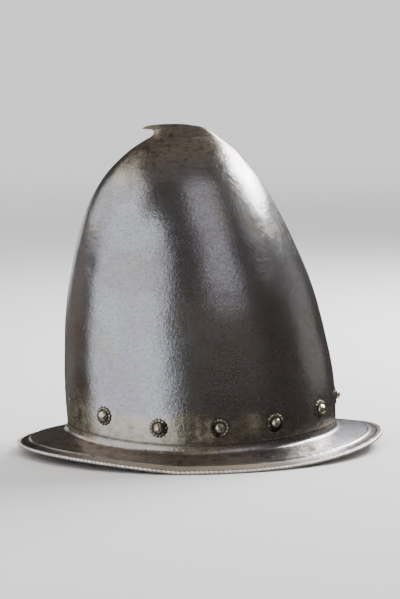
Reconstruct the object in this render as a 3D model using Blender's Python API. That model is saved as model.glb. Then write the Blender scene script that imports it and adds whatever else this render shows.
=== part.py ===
"""Cabasset helmet: a tall almond-shaped steel skull with a narrow brim, rosette washers and domed rivets.

Metres, +Z up, +X is the helmet's front. The origin lies on the surface that the brim rests on, under the middle
of the brim. The skull is one raised piece: crown, brim, turned edge and the small backward stalk at the top.
"""
import math

import bmesh
import bpy
import numpy as np
from mathutils import Matrix, Vector

# Driving sizes of the brim
BRIM_LENGTH = 0.332  # back tip to front tip, over the turned edge
BRIM_WIDTH = 0.260  # across the sides, over the turned edge
FRONT_RISE = 0.0117  # the front tip's underside above the resting plane
BACK_RISE = 0.0077  # the back tip's underside above the resting plane
REST_FRONT = 0.12  # the straight resting stretch ends here, a share of the half length
REST_BACK = -0.16  # and here towards the back
FRONT_CURVE = 2.5  # power of the front's rise: above 1 it starts gently and steepens towards the tip
BACK_CURVE = 1.06  # the same for the back
BACK_POINT = 0.15  # how much the oval draws in towards its back tip
EDGE_BEAD = 0.0032  # diameter of the turned edge
BORDER_WIDTH = 0.0115  # turned edge's middle to the low border rib
RIB_WIDTH = 0.0014  # border rib, from its crest to its foot on the field
RIB_HEIGHT = 0.0006  # border rib above the brim's field
COVE_DEPTH = 0.0004  # shallow cove between the border rib and the turned edge

# Driving sizes of the crown
CROWN_LENGTH = 0.2445  # outer, front to back at the foot
CROWN_WIDTH = 0.2010  # outer, side to side at the foot
SHOULDER_HEIGHT = 0.2810  # resting plane to where the crown turns into the stalk
ROOT_SIDE = 0.0135  # corner of crown and brim above the resting plane, at the sides
ROOT_FRONT = 0.0185  # the same at the front
ROOT_BACK = 0.0215  # and at the back
ROOT_FILLET = 0.0050  # concave turn from the crown to the brim
WALL = 0.0012  # steel sheet

# Driving sizes of the stalk
STALK_HEIGHT = 0.0126  # shoulder to top
STALK_OVERHANG = 0.0112  # the beak's free length behind its neck
CAP_RISE = 0.0030  # height of the hollow's little dome above its last ring

# Driving sizes of the fastenings
RIVET_RISE = 0.0250  # corner of crown and brim to a rivet's middle, as most of them lie
WASHER_DIAMETER = 0.0172
WASHER_RIM = 0.0016  # height of the lobed rim
WASHER_SEAT = 0.0009  # thickness under the rivet head
WASHER_LOBES = 14
LOBE_DEPTH = 0.0007  # notch between two lobes
HEAD_DIAMETER = 0.0086
HEAD_HEIGHT = 0.0040
SHANK_DIAMETER = 0.0034
CLENCH_DIAMETER = 0.0052  # hammered end inside
CLENCH_HEIGHT = 0.0009
CLEARANCE = 0.0003  # left between two pieces that touch on the real helmet

# Facet counts
COLUMNS = 56
FILLET_STEPS = 3
ROUND_SIDES = 12

# Crown sections from the foot to the shoulder. Columns: level, a share of the height from fillet to shoulder;
# back and front, shares of half the crown's length; side, a share of half the crown's width.
CROWN_SECTIONS = (
    (0.000, 0.982, 1.008, 1.000),
    (0.151, 0.994, 0.996, 1.000),
    (0.298, 0.986, 0.940, 0.985),
    (0.434, 0.965, 0.872, 0.955),
    (0.550, 0.922, 0.787, 0.886),
    (0.655, 0.873, 0.691, 0.806),
    (0.744, 0.812, 0.601, 0.718),
    (0.822, 0.734, 0.511, 0.613),
    (0.880, 0.650, 0.431, 0.510),
    (0.926, 0.560, 0.353, 0.403),
    (0.961, 0.475, 0.287, 0.310),
    (0.984, 0.400, 0.228, 0.241),
    (1.000, 0.340, 0.182, 0.186),
)

# Stalk sections above the shoulder. Columns: rise, a share of the stalk's height; back, front and side, shares of
# the shoulder section's own reaches; beak, a share of the overhang; pinch, how much the back half narrows.
STALK_SECTIONS = (
    (0.09, 0.948, 0.930, 0.880, 0.00, 0.05),
    (0.19, 0.917, 0.855, 0.800, 0.00, 0.12),
    (0.32, 0.888, 0.750, 0.690, 0.00, 0.20),
    (0.45, 0.880, 0.630, 0.570, 0.00, 0.30),
    (0.56, 0.880, 0.525, 0.480, 0.06, 0.42),
    (0.64, 0.880, 0.420, 0.410, 0.35, 0.55),
    (0.68, 0.880, 0.365, 0.380, 0.95, 0.68),
    (0.74, 0.880, 0.290, 0.340, 0.85, 0.72),
    (0.82, 0.880, 0.117, 0.290, 0.68, 0.72),
    (0.91, 0.880, -0.180, 0.230, 0.28, 0.70),
    (0.96, 0.845, -0.350, 0.170, 0.00, 0.65),
)
TOP_BACK = 0.48  # the topmost point, a share of the shoulder's back reach

# Rivet places, from the front round to the back. Columns: turn in degrees from the front; height above the corner
# of crown and brim, a share of the rivets' rise. All but the first are on both sides.
RIVET_PLACES = (
    (0.0, 1.06),
    (32.5, 0.98),
    (60.0, 0.86),
    (84.4, 0.86),
    (109.8, 0.83),
    (136.2, 1.01),
    (165.0, 1.28),
)
LOST_RIVET_TURN = -165.0  # this hole is bare, beside the back on the right-hand side

# Turned edge's corners, in degrees from straight outward; the third and fourth last make its flat underside.
BEAD_CORNERS = (95.0, 50.0, 0.0, -35.0, -65.0, -115.0, -145.0)
BEAD_REST = 65.0


def clear_scene():
    """Removes whatever the scene holds."""
    for thing in list(bpy.data.objects):
        bpy.data.objects.remove(thing, do_unlink=True)


def metal(name, color, roughness):
    """A plain metal of the given colour and roughness."""
    material = bpy.data.materials.new(name)
    material.use_nodes = True
    shader = material.node_tree.nodes["Principled BSDF"]
    shader.inputs["Base Color"].default_value = (*color, 1.0)
    shader.inputs["Metallic"].default_value = 1.0
    shader.inputs["Roughness"].default_value = roughness
    return material


def add_object(name, mesh, material):
    """Puts a mesh into the scene as a named piece."""
    mesh.materials.clear()
    mesh.materials.append(material)
    piece = bpy.data.objects.new(name, mesh)
    bpy.context.scene.collection.objects.link(piece)
    return piece


def shade(mesh, sharp_degrees):
    """Smooth shading, with edges past the given angle kept sharp."""
    mesh.shade_smooth()
    mesh.set_sharp_from_angle(angle=math.radians(sharp_degrees))


def rim_lift(turn):
    """Height of the brim's underside: level along the sides, curving up to the front, levelling out at the back."""
    reach = np.cos(turn)
    ahead = np.clip((reach - REST_FRONT) / (1.0 - REST_FRONT), 0.0, 1.0)
    behind = np.clip((REST_BACK - reach) / (1.0 + REST_BACK), 0.0, 1.0)
    return FRONT_RISE * ahead ** FRONT_CURVE + BACK_RISE * (1.0 - (1.0 - behind ** BACK_CURVE) ** 2)


def root_height(turn):
    """Height of the corner between crown and brim at a turn."""
    tip = np.where(np.cos(turn) > 0.0, ROOT_FRONT, ROOT_BACK)
    return ROOT_SIDE + (tip - ROOT_SIDE) * np.cos(turn) ** 2


def ring(turn, back, front, side, pinch, height):
    """An oval section: back and front reach along X, half width along Y; pinch narrows its back half."""
    middle = (front - back) / 2.0
    half = (front + back) / 2.0
    narrowing = 1.0 - pinch * (1.0 - np.cos(turn)) / 2.0
    x = middle + half * np.cos(turn)
    y = side * np.sin(turn) * narrowing
    return np.column_stack([x, y, np.broadcast_to(height, x.shape)])


def crown_ring(turn, level, back, front, side):
    """One crown section, from the top of the root fillet (level 0) to the shoulder (level 1)."""
    foot = root_height(turn) + ROOT_FILLET
    height = foot + (SHOULDER_HEIGHT - foot) * level
    half = CROWN_LENGTH / 2.0
    return ring(turn, back * half, front * half, side * CROWN_WIDTH / 2.0, 0.0, height)


def stalk_ring(turn, rise, back, front, side, beak, pinch):
    """One stalk section above the shoulder, with the beak's overhang added to its back reach."""
    _, top_back, top_front, top_side = CROWN_SECTIONS[-1]
    half = CROWN_LENGTH / 2.0
    return ring(
        turn,
        back * top_back * half + beak * STALK_OVERHANG,
        front * top_front * half,
        side * top_side * CROWN_WIDTH / 2.0,
        pinch,
        SHOULDER_HEIGHT + rise * STALK_HEIGHT,
    )


def bead_middle(turn):
    """Middle line of the turned edge, whose flat underside lies at the rim's lift."""
    radius = EDGE_BEAD / 2.0
    behind = np.clip(-np.cos(turn), 0.0, 1.0)
    x = (BRIM_LENGTH / 2.0 - radius) * np.cos(turn)
    y = (BRIM_WIDTH / 2.0 - radius) * np.sin(turn) * (1.0 - BACK_POINT * behind ** 2)
    return np.column_stack([x, y, rim_lift(turn) + radius * math.sin(math.radians(BEAD_REST))])


def outward(turn):
    """Level direction square to the brim's outer oval."""
    direction = np.column_stack([np.cos(turn) * BRIM_WIDTH, np.sin(turn) * BRIM_LENGTH, np.zeros(turn.shape)])
    return direction / np.linalg.norm(direction, axis=1, keepdims=True)


def outer_rings(turn):
    """Rings of the skull's outer face from the shoulder down to the neck of the turned edge."""
    rings = [crown_ring(turn, *row) for row in reversed(CROWN_SECTIONS)]
    foot = rings[-1]
    corner = foot - np.array([0.0, 0.0, ROOT_FILLET])
    edge = bead_middle(turn)
    span = edge - corner
    length = np.linalg.norm(span, axis=1, keepdims=True)
    along = span / length
    around = np.cross([0.0, 0.0, 1.0], along)
    up = np.cross(along, around)
    up /= np.linalg.norm(up, axis=1, keepdims=True)

    # The brim's upper face lies half a sheet above the line from the corner to the turned edge's middle.
    radius = EDGE_BEAD / 2.0
    neck = math.sqrt(radius ** 2 - (WALL / 2.0) ** 2)
    face_start = corner
    face_end = edge - along * neck + up * WALL / 2.0
    after_fillet = face_start + (face_end - face_start) * (ROOT_FILLET / length)
    for step in range(1, FILLET_STEPS + 1):
        share = step / FILLET_STEPS
        rings.append((1 - share) ** 2 * foot + 2 * share * (1 - share) * corner + share ** 2 * after_fillet)

    # Field, foot and crest of the border rib, cove, and neck of the turned edge.
    for from_edge, lift in (
        (BORDER_WIDTH + RIB_WIDTH, 0.0),
        (BORDER_WIDTH, RIB_HEIGHT),
        (BORDER_WIDTH - RIB_WIDTH, 0.0),
        ((BORDER_WIDTH + neck) / 2.0, -COVE_DEPTH),
        (neck, 0.0),
    ):
        place = 1.0 - (from_edge - neck) / (length - neck)
        rings.append(face_start + (face_end - face_start) * place + up * lift)
    return rings


def outer_normals(rings):
    """Unit normals of a stack of rings that runs downwards, pointing out of the steel."""
    stack = np.array(rings)
    down = np.gradient(stack, axis=0)
    round_about = np.roll(stack, -1, axis=1) - np.roll(stack, 1, axis=1)
    normals = np.cross(down, round_about)
    return normals / np.linalg.norm(normals, axis=2, keepdims=True)


def skull_mesh():
    """The whole skull as one closed skin: stalk, crown, brim, turned edge, underside and hollow."""
    turn = np.arange(COLUMNS) * 2.0 * math.pi / COLUMNS
    rings = [stalk_ring(turn, *row) for row in reversed(STALK_SECTIONS)]
    face = outer_rings(turn)
    rings += face

    edge = bead_middle(turn)
    out = outward(turn)
    for degrees in BEAD_CORNERS:
        angle = math.radians(degrees)
        rings.append(edge + EDGE_BEAD / 2.0 * (out * math.cos(angle) + np.array([0.0, 0.0, math.sin(angle)])))

    inner = np.array(face) - WALL * outer_normals(face)
    rings += list(inner[::-1])

    back_reach = CROWN_SECTIONS[-1][1] * CROWN_LENGTH / 2.0
    top = Vector((-TOP_BACK * back_reach, 0.0, SHOULDER_HEIGHT + STALK_HEIGHT))
    cap = Vector(rings[-1].mean(axis=0)) + Vector((0.0, 0.0, CAP_RISE))

    work = bmesh.new()
    loops = [[work.verts.new(point) for point in one] for one in rings]
    top_vert = work.verts.new(top)
    cap_vert = work.verts.new(cap)
    for k in range(COLUMNS):
        after = (k + 1) % COLUMNS
        work.faces.new((top_vert, loops[0][k], loops[0][after]))
        work.faces.new((cap_vert, loops[-1][after], loops[-1][k]))
        for upper, lower in zip(loops, loops[1:]):
            work.faces.new((upper[k], lower[k], lower[after], upper[after]))
    bmesh.ops.triangulate(work, faces=work.faces[:])
    mesh = bpy.data.meshes.new("skull")
    work.to_mesh(mesh)
    work.free()
    return mesh


def wall_seat(turn_degrees, share_of_rise):
    """A frame on the crown's outer face: its origin on the facet at that turn and height, +Z out of the wall.

    The wall's level direction there is the chord over one column's width, centred on the place.
    """
    position = math.radians(turn_degrees) / (2.0 * math.pi) * COLUMNS
    column = math.floor(position)
    share = position - column
    turns = np.array([column, column + 1]) * 2.0 * math.pi / COLUMNS
    lower = crown_ring(turns, *CROWN_SECTIONS[0])
    upper = crown_ring(turns, *CROWN_SECTIONS[1])
    foot = lower[0] * (1 - share) + lower[1] * share
    head = upper[0] * (1 - share) + upper[1] * share
    height = float(root_height(np.array([math.radians(turn_degrees)]))[0]) + share_of_rise * RIVET_RISE
    climb = (height - foot[2]) / (head[2] - foot[2])
    point = Vector(foot + (head - foot) * climb)
    ends = (position + np.array([-0.5, 0.5])) * 2.0 * math.pi / COLUMNS
    low_chord = np.diff(crown_ring(ends, *CROWN_SECTIONS[0]), axis=0)[0]
    high_chord = np.diff(crown_ring(ends, *CROWN_SECTIONS[1]), axis=0)[0]
    along = Vector(low_chord * (1 - climb) + high_chord * climb)
    normal = along.cross(Vector(head - foot)).normalized()
    up = (Vector(head - foot) - normal * Vector(head - foot).dot(normal)).normalized()
    side = up.cross(normal)
    return Matrix((
        (side.x, up.x, normal.x, point.x),
        (side.y, up.y, normal.y, point.y),
        (side.z, up.z, normal.z, point.z),
        (0.0, 0.0, 0.0, 1.0),
    ))


def turned_mesh(name, profile, sides):
    """A closed turned form about +Z. The profile runs from the top pole down its outer side to the bottom pole."""
    work = bmesh.new()
    top = work.verts.new((0.0, 0.0, profile[0][1]))
    bottom = work.verts.new((0.0, 0.0, profile[-1][1]))
    loops = []
    for radius, height in profile[1:-1]:
        angles = [2.0 * math.pi * k / sides for k in range(sides)]
        loops.append([work.verts.new((radius * math.cos(a), radius * math.sin(a), height)) for a in angles])
    for k in range(sides):
        after = (k + 1) % sides
        work.faces.new((top, loops[0][k], loops[0][after]))
        work.faces.new((bottom, loops[-1][after], loops[-1][k]))
        for upper, lower in zip(loops, loops[1:]):
            work.faces.new((upper[k], lower[k], lower[after], upper[after]))
    mesh = bpy.data.meshes.new(name)
    work.to_mesh(mesh)
    work.free()
    return mesh


def rivet_mesh():
    """Domed head, shank through washer and wall, and the end hammered flat inside."""
    seat = 2.0 * CLEARANCE + WASHER_SEAT
    inside = -WALL - CLEARANCE
    head = HEAD_DIAMETER / 2.0
    clench = CLENCH_DIAMETER / 2.0
    shank = SHANK_DIAMETER / 2.0
    profile = (
        (0.0, seat + HEAD_HEIGHT),
        (head * 0.62, seat + HEAD_HEIGHT * 0.80),
        (head * 0.93, seat + HEAD_HEIGHT * 0.38),
        (head, seat),
        (shank, seat),
        (shank, inside),
        (clench, inside),
        (clench * 0.75, inside - CLENCH_HEIGHT),
        (0.0, inside - CLENCH_HEIGHT),
    )
    return turned_mesh("rivet", profile, ROUND_SIDES)


def washer_mesh():
    """Rosette washer: a lobed raised rim, a hollow ring inside it and a bore for the shank."""
    points = 2 * WASHER_LOBES
    outer = WASHER_DIAMETER / 2.0
    bore = SHANK_DIAMETER / 2.0 + CLEARANCE
    hollow = (HEAD_DIAMETER / 2.0 + outer) / 2.0
    bottom = CLEARANCE

    def lobed(radius, height, notch, notch_drop):
        """A ring of lobe tips and notches."""
        verts = []
        for k in range(points):
            inward = notch if k % 2 else 0.0
            drop = notch_drop if k % 2 else 0.0
            angle = 2.0 * math.pi * k / points
            place = radius - inward
            verts.append(work.verts.new((place * math.cos(angle), place * math.sin(angle), height - drop)))
        return verts

    def plain(radius, height):
        """A ring with one point behind each lobe tip."""
        verts = []
        for k in range(WASHER_LOBES):
            angle = 2.0 * math.pi * k / WASHER_LOBES
            verts.append(work.verts.new((radius * math.cos(angle), radius * math.sin(angle), height)))
        return verts

    work = bmesh.new()
    rim_low = lobed(outer, bottom, LOBE_DEPTH, 0.0)
    rim_high = lobed(outer - LOBE_DEPTH, bottom + WASHER_RIM, LOBE_DEPTH * 0.6, WASHER_RIM * 0.3)
    ring_low = plain(hollow, bottom + WASHER_SEAT)
    bore_high = plain(bore, bottom + WASHER_SEAT)
    bore_low = plain(bore, bottom)
    for k in range(points):
        after = (k + 1) % points
        work.faces.new((rim_high[k], rim_low[k], rim_low[after], rim_high[after]))
    for k in range(WASHER_LOBES):
        after = (k + 1) % WASHER_LOBES
        tip = 2 * k
        notch = 2 * k + 1
        next_tip = (2 * k + 2) % points
        work.faces.new((ring_low[k], rim_high[tip], rim_high[notch]))
        work.faces.new((ring_low[k], rim_high[notch], ring_low[after]))
        work.faces.new((ring_low[after], rim_high[notch], rim_high[next_tip]))
        work.faces.new((bore_high[k], ring_low[k], ring_low[after], bore_high[after]))
        work.faces.new((bore_low[k], bore_high[k], bore_high[after], bore_low[after]))
        work.faces.new((bore_low[k], rim_low[notch], rim_low[tip]))
        work.faces.new((bore_low[k], bore_low[after], rim_low[notch]))
        work.faces.new((bore_low[after], rim_low[next_tip], rim_low[notch]))
    mesh = bpy.data.meshes.new("washer")
    work.to_mesh(mesh)
    work.free()
    return mesh


def rivet_seats():
    """Frames of all the rivet places, with whether each still holds its rivet."""
    seats = []
    for turn, share_of_rise in RIVET_PLACES:
        for signed in ((turn,) if turn == 0.0 else (turn, -turn)):
            seats.append((wall_seat(signed, share_of_rise), signed != LOST_RIVET_TURN))
    return seats


def hole_cutter(seats):
    """All the rivet holes as one guide object of short cylinders through the wall."""
    work = bmesh.new()
    for seat, _ in seats:
        bmesh.ops.create_cone(
            work,
            cap_ends=True,
            segments=ROUND_SIDES,
            radius1=SHANK_DIAMETER / 2.0 + CLEARANCE,
            radius2=SHANK_DIAMETER / 2.0 + CLEARANCE,
            depth=6.0 * WALL,
            matrix=seat,
        )
    mesh = bpy.data.meshes.new("rivet_holes")
    work.to_mesh(mesh)
    work.free()
    cutter = bpy.data.objects.new("rivet_holes", mesh)
    bpy.context.scene.collection.objects.link(cutter)
    cutter.hide_render = True
    cutter.display_type = "WIRE"
    return cutter


def main():
    clear_scene()
    steel = metal("dark_steel", (0.20, 0.19, 0.185), 0.35)
    fastening = metal("aged_brass", (0.52, 0.47, 0.38), 0.42)

    seats = rivet_seats()
    skull = add_object("skull", skull_mesh(), steel)
    shade(skull.data, 35.0)
    holes = skull.modifiers.new("rivet_holes", "BOOLEAN")
    holes.operation = "DIFFERENCE"
    holes.solver = "EXACT"
    holes.object = hole_cutter(seats)

    washer = washer_mesh()
    rivet = rivet_mesh()
    shade(rivet, 40.0)
    number = 0
    for seat, filled in seats:
        if not filled:
            continue
        number += 1
        for kind, mesh in (("washer", washer), ("rivet", rivet)):
            piece = add_object(f"{kind}_{number:02d}", mesh, fastening)
            piece.matrix_world = seat


main()
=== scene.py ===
# %% [markdown]
# A cabasset helmet, told as a lesson in Blender. The real one is a single sheet of steel, raised with
# hammers over a stake until it stood as tall as an almond, with its narrow brim left all round. The
# construction model gives every size and place. This script only gives the helmet its looks, so it starts
# from that model and never moves it.

# %% Load the construction model
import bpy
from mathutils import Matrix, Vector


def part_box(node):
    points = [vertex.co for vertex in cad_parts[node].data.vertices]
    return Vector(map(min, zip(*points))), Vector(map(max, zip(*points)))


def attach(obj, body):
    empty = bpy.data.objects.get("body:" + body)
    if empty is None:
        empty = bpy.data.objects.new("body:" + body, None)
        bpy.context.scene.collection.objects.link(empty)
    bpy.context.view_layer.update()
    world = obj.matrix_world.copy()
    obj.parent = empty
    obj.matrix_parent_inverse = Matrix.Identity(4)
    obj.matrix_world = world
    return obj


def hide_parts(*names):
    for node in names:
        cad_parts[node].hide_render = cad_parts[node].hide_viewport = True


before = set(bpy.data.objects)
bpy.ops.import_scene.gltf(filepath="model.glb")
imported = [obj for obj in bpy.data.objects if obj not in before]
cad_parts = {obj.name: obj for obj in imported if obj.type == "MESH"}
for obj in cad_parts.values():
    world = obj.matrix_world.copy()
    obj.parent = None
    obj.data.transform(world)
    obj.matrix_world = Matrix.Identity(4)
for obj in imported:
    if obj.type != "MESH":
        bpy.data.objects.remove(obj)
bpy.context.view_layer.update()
print("pieces in the construction model:", len(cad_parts))

# %% Modules
import math

import bpy
import numpy as np
from mathutils import Matrix

TAU = 2.0 * math.pi
MM = 0.001

# %% [markdown]
# Every surface here is worked out by numpy on a grid: rows run down the form and columns run round it. A few
# short helpers turn such a grid into a piece. They space its columns, list the faces between its points,
# close its two ends with a point each, as a globe is closed at its poles, and hide the nodes of the model
# that it covers.

# %% From a grid of points to a closed mesh
def turns(columns):
    """Evenly spaced angles round a full circle."""
    return np.arange(columns) * TAU / columns


def turned(radius, height, angles):
    """Points of a round form: radius times cosine, radius times sine, and height."""
    return np.stack(np.broadcast_arrays(radius * np.cos(angles), radius * np.sin(angles), height), axis=-1)


def smooth_mesh(name, points, faces):
    """A mesh with smooth shading from points (..., 3) and lists of point numbers."""
    mesh = bpy.data.meshes.new(name)
    mesh.from_pydata(points.reshape(-1, 3).tolist(), [], faces)
    mesh.shade_smooth()
    return mesh


def grid_faces(rows, columns, closed_rows=False):
    """Quads of a grid with closed columns: each joins a point, the one below and their two neighbours."""
    steps = rows if closed_rows else rows - 1
    row, column = np.meshgrid(np.arange(steps), np.arange(columns), indexing="ij")
    below = (row + 1) % rows
    after = (column + 1) % columns
    corners = [
        row * columns + column,
        below * columns + column,
        below * columns + after,
        row * columns + after,
    ]
    return np.stack(corners, axis=-1).reshape(-1, 4)


def closed_skin(name, rings, top, bottom):
    """Mesh of rings (rows, columns, 3) that run from the top pole down the outside to the bottom pole."""
    rows, columns, _ = rings.shape
    points = np.concatenate([rings.reshape(-1, 3), [top, bottom]])
    column = np.arange(columns)
    after = (column + 1) % columns
    last = (rows - 1) * columns
    top_fan = np.stack([np.full(columns, rows * columns), column, after], axis=1)
    bottom_fan = np.stack([np.full(columns, rows * columns + 1), last + after, last + column], axis=1)
    faces = grid_faces(rows, columns).tolist() + top_fan.tolist() + bottom_fan.tolist()
    return smooth_mesh(name, points, faces)


# %% A finished piece
def add_object(name, data):
    """A new object in the scene, at the origin."""
    new = bpy.data.objects.new(name, data)
    bpy.context.scene.collection.objects.link(new)
    return new


def add_piece(name, mesh, slot, nodes, *materials):
    """Links the mesh as a piece that rides on the helmet, and hides the named nodes of the model."""
    for material in materials:
        mesh.materials.append(material)
    piece = add_object(name, mesh)
    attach(piece, "root")
    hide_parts(*nodes)
    return piece


def set_attribute(mesh, name, values):
    """Stores one number per point, which the materials read by its name."""
    mesh.attributes.new(name, "FLOAT", "POINT").data.foreach_set("value", np.asarray(values, float).ravel())


# %% [markdown]
# First the sizes. The overall ones are read from the construction model's box, so the looks always fit it.
# The rest repeat the construction's own shares: how the crown draws in, how the brim lifts, where the
# stalk's beak reaches.

# %% Sizes of the skull
skull_low, skull_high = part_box("skull")
BRIM_LENGTH = skull_high.x - skull_low.x
BRIM_WIDTH = skull_high.y - skull_low.y
STALK_HEIGHT = 12.6 * MM
SHOULDER_HEIGHT = skull_high.z - STALK_HEIGHT
CROWN_LENGTH = 244.5 * MM
CROWN_WIDTH = 201.0 * MM
STALK_OVERHANG = 11.2 * MM
FRONT_RISE = 11.7 * MM
BACK_RISE = 7.7 * MM
REST_FRONT = 0.12
REST_BACK = -0.16
FRONT_CURVE = 2.5
BACK_CURVE = 1.06
BACK_POINT = 0.15
EDGE_BEAD = 3.2 * MM
EDGE_REST = math.radians(65.0)
ROOT_SIDE = 13.5 * MM
ROOT_FRONT = 18.5 * MM
ROOT_BACK = 21.5 * MM
ROOT_FILLET = 5.0 * MM
WALL = 1.2 * MM
print("brim %.1f by %.1f mm, top at %.1f mm" % (BRIM_LENGTH / MM, BRIM_WIDTH / MM, skull_high.z / MM))

# %% Sections of the crown and stalk
# Crown columns: level from fillet to shoulder; back and front reach as shares of half the length; side as a
# share of half the width.
CROWN_SECTIONS = np.array([
    (0.000, 0.982, 1.008, 1.000),
    (0.151, 0.994, 0.996, 1.000),
    (0.298, 0.986, 0.940, 0.985),
    (0.434, 0.965, 0.872, 0.955),
    (0.550, 0.922, 0.787, 0.886),
    (0.655, 0.873, 0.691, 0.806),
    (0.744, 0.812, 0.601, 0.718),
    (0.822, 0.734, 0.511, 0.613),
    (0.880, 0.650, 0.431, 0.510),
    (0.926, 0.560, 0.353, 0.403),
    (0.961, 0.475, 0.287, 0.310),
    (0.984, 0.400, 0.228, 0.241),
    (1.000, 0.340, 0.182, 0.186),
])
# Stalk columns: rise over the stalk's height; back, front and side as shares of the shoulder's reaches; beak
# as a share of the overhang; pinch, how much the back half narrows.
STALK_SECTIONS = np.array([
    (0.09, 0.948, 0.930, 0.880, 0.00, 0.05),
    (0.19, 0.917, 0.855, 0.800, 0.00, 0.12),
    (0.32, 0.888, 0.750, 0.690, 0.00, 0.20),
    (0.45, 0.880, 0.630, 0.570, 0.00, 0.30),
    (0.56, 0.880, 0.525, 0.480, 0.06, 0.42),
    (0.64, 0.880, 0.420, 0.410, 0.35, 0.55),
    (0.68, 0.880, 0.365, 0.380, 0.95, 0.68),
    (0.74, 0.880, 0.290, 0.340, 0.85, 0.72),
    (0.82, 0.880, 0.117, 0.290, 0.68, 0.72),
    (0.91, 0.880, -0.180, 0.230, 0.28, 0.70),
    (0.96, 0.845, -0.350, 0.170, 0.00, 0.65),
    (1.00, 0.480, -0.480, 0.000, 0.00, 0.60),
])


# %% [markdown]
# The sections are only a few rows, and a polished crown shows every kink between them as a broken
# reflection. A natural cubic spline passes through all the rows and keeps the bend continuous, so
# reflections flow. The alternative, subdividing a coarse mesh, would shrink the form away from its
# sections.

# %% A spline through the rows of a table
def smooth_curve(knots, rows, places):
    """Natural cubic spline: the bends at the knots solve one linear system, then each span is a cubic."""
    gap = np.diff(knots)
    count = len(knots)
    inner = np.arange(1, count - 1)
    system = np.eye(count)
    system[inner, inner - 1] = gap[:-1]
    system[inner, inner] = 2.0 * (gap[:-1] + gap[1:])
    system[inner, inner + 1] = gap[1:]
    right = np.zeros_like(rows)
    right[1:-1] = 6.0 * np.diff(np.diff(rows, axis=0) / gap[:, None], axis=0)
    bend = np.linalg.solve(system, right)
    span = np.clip(np.searchsorted(knots, places, side="right") - 1, 0, count - 2)
    width = gap[span][:, None]
    ahead = ((knots[span + 1] - places)[:, None]) / width
    behind = 1.0 - ahead
    straight = ahead * rows[span] + behind * rows[span + 1]
    curve = (ahead ** 3 - ahead) * bend[span] + (behind ** 3 - behind) * bend[span + 1]
    return straight + curve * width ** 2 / 6.0


# %% One table in metres, from the top point down to the foot
half_length = CROWN_LENGTH / 2.0
half_width = CROWN_WIDTH / 2.0
level, back, front, side = CROWN_SECTIONS[::-1].T
flat = np.zeros_like(level)
crown_rows = np.column_stack([level, flat, back * half_length, front * half_length, side * half_width, flat])
rise, back, front, side, beak, pinch = STALK_SECTIONS[::-1].T
top_back, top_front, top_side = CROWN_SECTIONS[-1, 1:] * (half_length, half_length, half_width)
stalk_rows = np.column_stack([
    np.ones_like(rise),
    rise * STALK_HEIGHT,
    back * top_back + beak * STALK_OVERHANG,
    np.where(rise < 1.0, front * top_front, -back * top_back),
    side * top_side,
    pinch,
])
section_rows = np.concatenate([stalk_rows, crown_rows])
print("sections, stalk and crown:", section_rows.shape[0])


# %% Rows of the grid, spaced evenly along the surface and closer on the stalk
STALK_STARTS = 0.5 * MM
FOOT_LEVEL = 0.03


def travelled(rows, stalk_weight=1.0, foot_weight=1.0):
    """Distance run down the surface, as the root of the summed squares of the changes in reach and height."""
    height = rows[:, 0] * SHOULDER_HEIGHT + rows[:, 1]
    steps = np.diff(np.column_stack([rows[:, 2:5], height]), axis=0)
    weight = np.where(rows[1:, 1] > STALK_STARTS, stalk_weight, 1.0)
    weight = np.where(rows[1:, 0] < FOOT_LEVEL, foot_weight, weight)
    return np.concatenate([[0.0], np.cumsum(np.linalg.norm(steps, axis=1) * weight)])


CROWN_ROWS = 112
FINE_STEPS = 4001
gaps = np.diff(travelled(section_rows))
knots = np.concatenate([[0.0], np.cumsum(np.sqrt(gaps))])
dense = np.linspace(0.0, knots[-1], FINE_STEPS)
effort = travelled(smooth_curve(knots, section_rows, dense), stalk_weight=3.0, foot_weight=4.0)
places = np.interp(np.linspace(0.0, effort[-1], CROWN_ROWS + 1)[1:], effort, dense)
smooth_rows = smooth_curve(knots, section_rows, places)
print("rows on crown and stalk:", CROWN_ROWS)

# %% [markdown]
# Each row is an oval: an ellipse set between its back and front reach, so that the crown can lean, and drawn
# in at the back of the stalk. A point is found from its turn round the oval, measured from the helmet's
# front.

# %% The crown and stalk as a function of row and turn
COLUMNS = 448
turn = turns(COLUMNS)


def root_height(turn):
    """Height of the corner between crown and brim: the side's, plus the turn's squared cosine of the rest."""
    tip = np.where(np.cos(turn) > 0.0, ROOT_FRONT, ROOT_BACK)
    return ROOT_SIDE + (tip - ROOT_SIDE) * np.cos(turn) ** 2


def crown_points(rows, turn):
    """Ovals: middle plus mean reach times cosine along X, width times sine along Y, narrowed by the pinch."""
    level, rise, back, front, side, pinch = [column[:, None] for column in rows.T]
    x = (front - back) / 2.0 + (front + back) / 2.0 * np.cos(turn)
    y = side * np.sin(turn) * (1.0 - pinch * (1.0 - np.cos(turn)) / 2.0)
    foot = root_height(turn) + ROOT_FILLET
    z = foot + (SHOULDER_HEIGHT - foot) * level + rise
    return np.stack([x, y, z], axis=-1)


crown = crown_points(smooth_rows, turn)
foot_ring = crown_points(section_rows[-1:], turn)[0]
crown[-1] = foot_ring
print("crown grid:", crown.shape)

# %% [markdown]
# The brim grows out of the crown through a hollow fillet, slopes down to the border and ends in the turned
# edge. Its lift is level along both sides, where the helmet rests, and curves up to the front and back
# tips. The border is embossed: a low rib, a shallow cove and a narrow lip before the edge.

# %% The turned edge's middle line
def rim_lift(turn):
    """Underside height: zero along the sides, a power curve up to the front, a levelling one to the back."""
    reach = np.cos(turn)
    ahead = np.clip((reach - REST_FRONT) / (1.0 - REST_FRONT), 0.0, 1.0)
    behind = np.clip((REST_BACK - reach) / (1.0 + REST_BACK), 0.0, 1.0)
    return FRONT_RISE * ahead ** FRONT_CURVE + BACK_RISE * (1.0 - (1.0 - behind ** BACK_CURVE) ** 2)


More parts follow.
